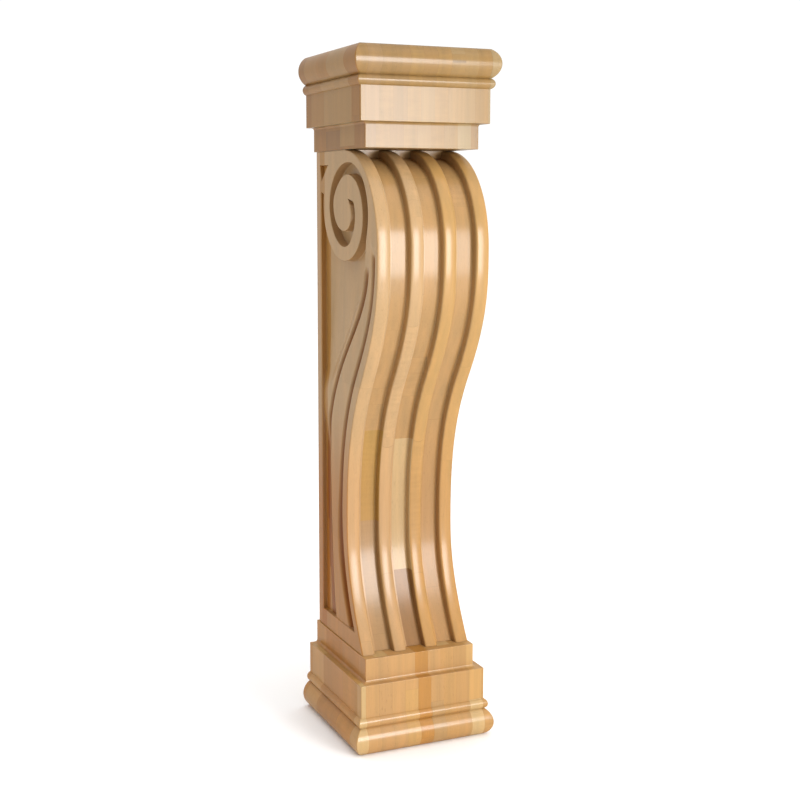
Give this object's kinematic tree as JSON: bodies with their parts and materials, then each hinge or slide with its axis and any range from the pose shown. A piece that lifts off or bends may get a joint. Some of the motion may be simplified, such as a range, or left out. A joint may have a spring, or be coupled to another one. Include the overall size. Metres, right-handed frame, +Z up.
{
  "type": "fluted corbel",
  "caption": "Tall wooden corbel with a flat back, a fluted S-shaped shaft with side scrolls, and matching moulded capital and base, to stand under a mantel shelf.",
  "frame": {"origin": "on the floor plane, under the middle of the corbel's box", "axes": "+Z up, -Y towards the front, +Y towards the wall, X across the width"},
  "size_m": [0.203, 0.216, 0.914],
  "materials": {
    "lacquered_wood": "pale hardwood glued up from staves, clear satin lacquer"
  },
  "bodies": {
    "root": {"base_block": "lacquered_wood", "scroll_shaft": "lacquered_wood", "capital_block": "lacquered_wood"}
  },
  "joints": []
}
